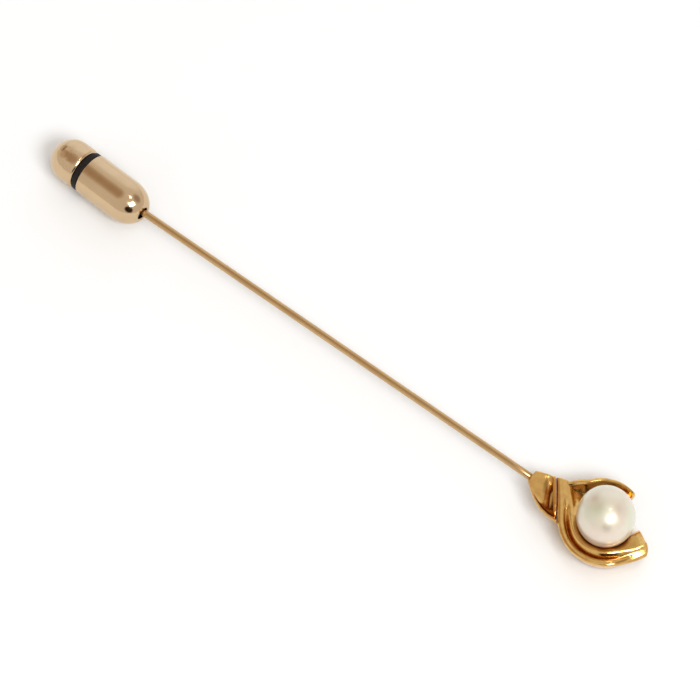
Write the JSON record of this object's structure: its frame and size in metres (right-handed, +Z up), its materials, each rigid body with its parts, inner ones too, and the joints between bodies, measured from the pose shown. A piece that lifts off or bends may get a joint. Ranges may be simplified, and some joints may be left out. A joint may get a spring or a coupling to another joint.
{
  "type": "hat pin",
  "caption": "Straight gold hat pin: a swirled ribbon head holds a pearl, and a bullet-shaped spring clutch grips the point.",
  "frame": {"origin": "middle of the head's flat back, under the pearl", "axes": "+X along the wire from the clutch to the head, +Z up out of the head's face, the pin lying level on the plane z = 0"},
  "size_m": [0.0818, 0.0099, 0.0078],
  "materials": {
    "wire_gold": "drawn and polished yellow gold plate",
    "swirl_gold": "polished rich yellow gold",
    "clutch_gold": "polished pale gold plate",
    "clutch_brass": "turned brass",
    "spring_steel": "drawn spring steel",
    "ball_steel": "polished bearing steel",
    "black_ring": "matt black nylon rubber",
    "pearl": "cream nacre with a pink and green overtone"
  },
  "bodies": {
    "pin": {"stem_wire": "wire_gold", "leaf": "swirl_gold", "twist_roll": "swirl_gold", "swirl_band": "swirl_gold", "upper_arm": "swirl_gold", "pearl_cup": "swirl_gold", "pearl_post": "swirl_gold", "pearl": "pearl"},
    "seat": {"taper_ring": "clutch_brass"},
    "barrel": {"barrel_shell": "clutch_gold", "rear_collar": "clutch_brass"},
    "spring_unit": {"spring": "spring_steel", "spring_washer": "spring_steel"},
    "knob": {"cage": "clutch_brass", "cap_disc": "clutch_brass", "cap_shell": "clutch_gold", "seal_ring": "black_ring"},
    "ball_1": {"grip_ball_1": "ball_steel"},
    "ball_2": {"grip_ball_2": "ball_steel"},
    "ball_3": {"grip_ball_3": "ball_steel"}
  },
  "joints": [
    {"name": "clutch_slide", "type": "slide", "parent": "pin", "child": "seat", "axis": [-1, 0, 0], "range_m": [-0.002, 0.014]},
    {"name": "clutch_turn", "type": "hinge", "parent": "seat", "child": "barrel", "pos_m": [-0.06719, -0.00025, 0.00245], "axis": [-0.999, 0.0454, 0], "continuous": true},
    {"name": "knob_turn", "type": "hinge", "parent": "barrel", "child": "spring_unit", "pos_m": [-0.06719, -0.00025, 0.00245], "axis": [-0.999, 0.0454, 0], "continuous": true},
    {"name": "knob_pull", "type": "slide", "parent": "spring_unit", "child": "knob", "axis": [-0.999, 0.0454, 0], "range_m": [0, 0.001], "stiffness_N_per_m": 300, "springref_m": -0.001, "deforming": ["spring"]},
    {"name": "ball_1_spread", "type": "slide", "parent": "knob", "child": "ball_1", "axis": [0, 0, 1], "range_m": [0, 0.00025]},
    {"name": "ball_2_spread", "type": "slide", "parent": "knob", "child": "ball_2", "axis": [0.0393, 0.8651, -0.5], "range_m": [0, 0.00025]},
    {"name": "ball_3_spread", "type": "slide", "parent": "knob", "child": "ball_3", "axis": [-0.0393, -0.8651, -0.5], "range_m": [0, 0.00025]}
  ],
  "couplings": [
    {"joint": "ball_1_spread", "follows": "knob_pull", "ratio": 0.24933},
    {"joint": "ball_2_spread", "follows": "knob_pull", "ratio": 0.24933},
    {"joint": "ball_3_spread", "follows": "knob_pull", "ratio": 0.24933}
  ]
}
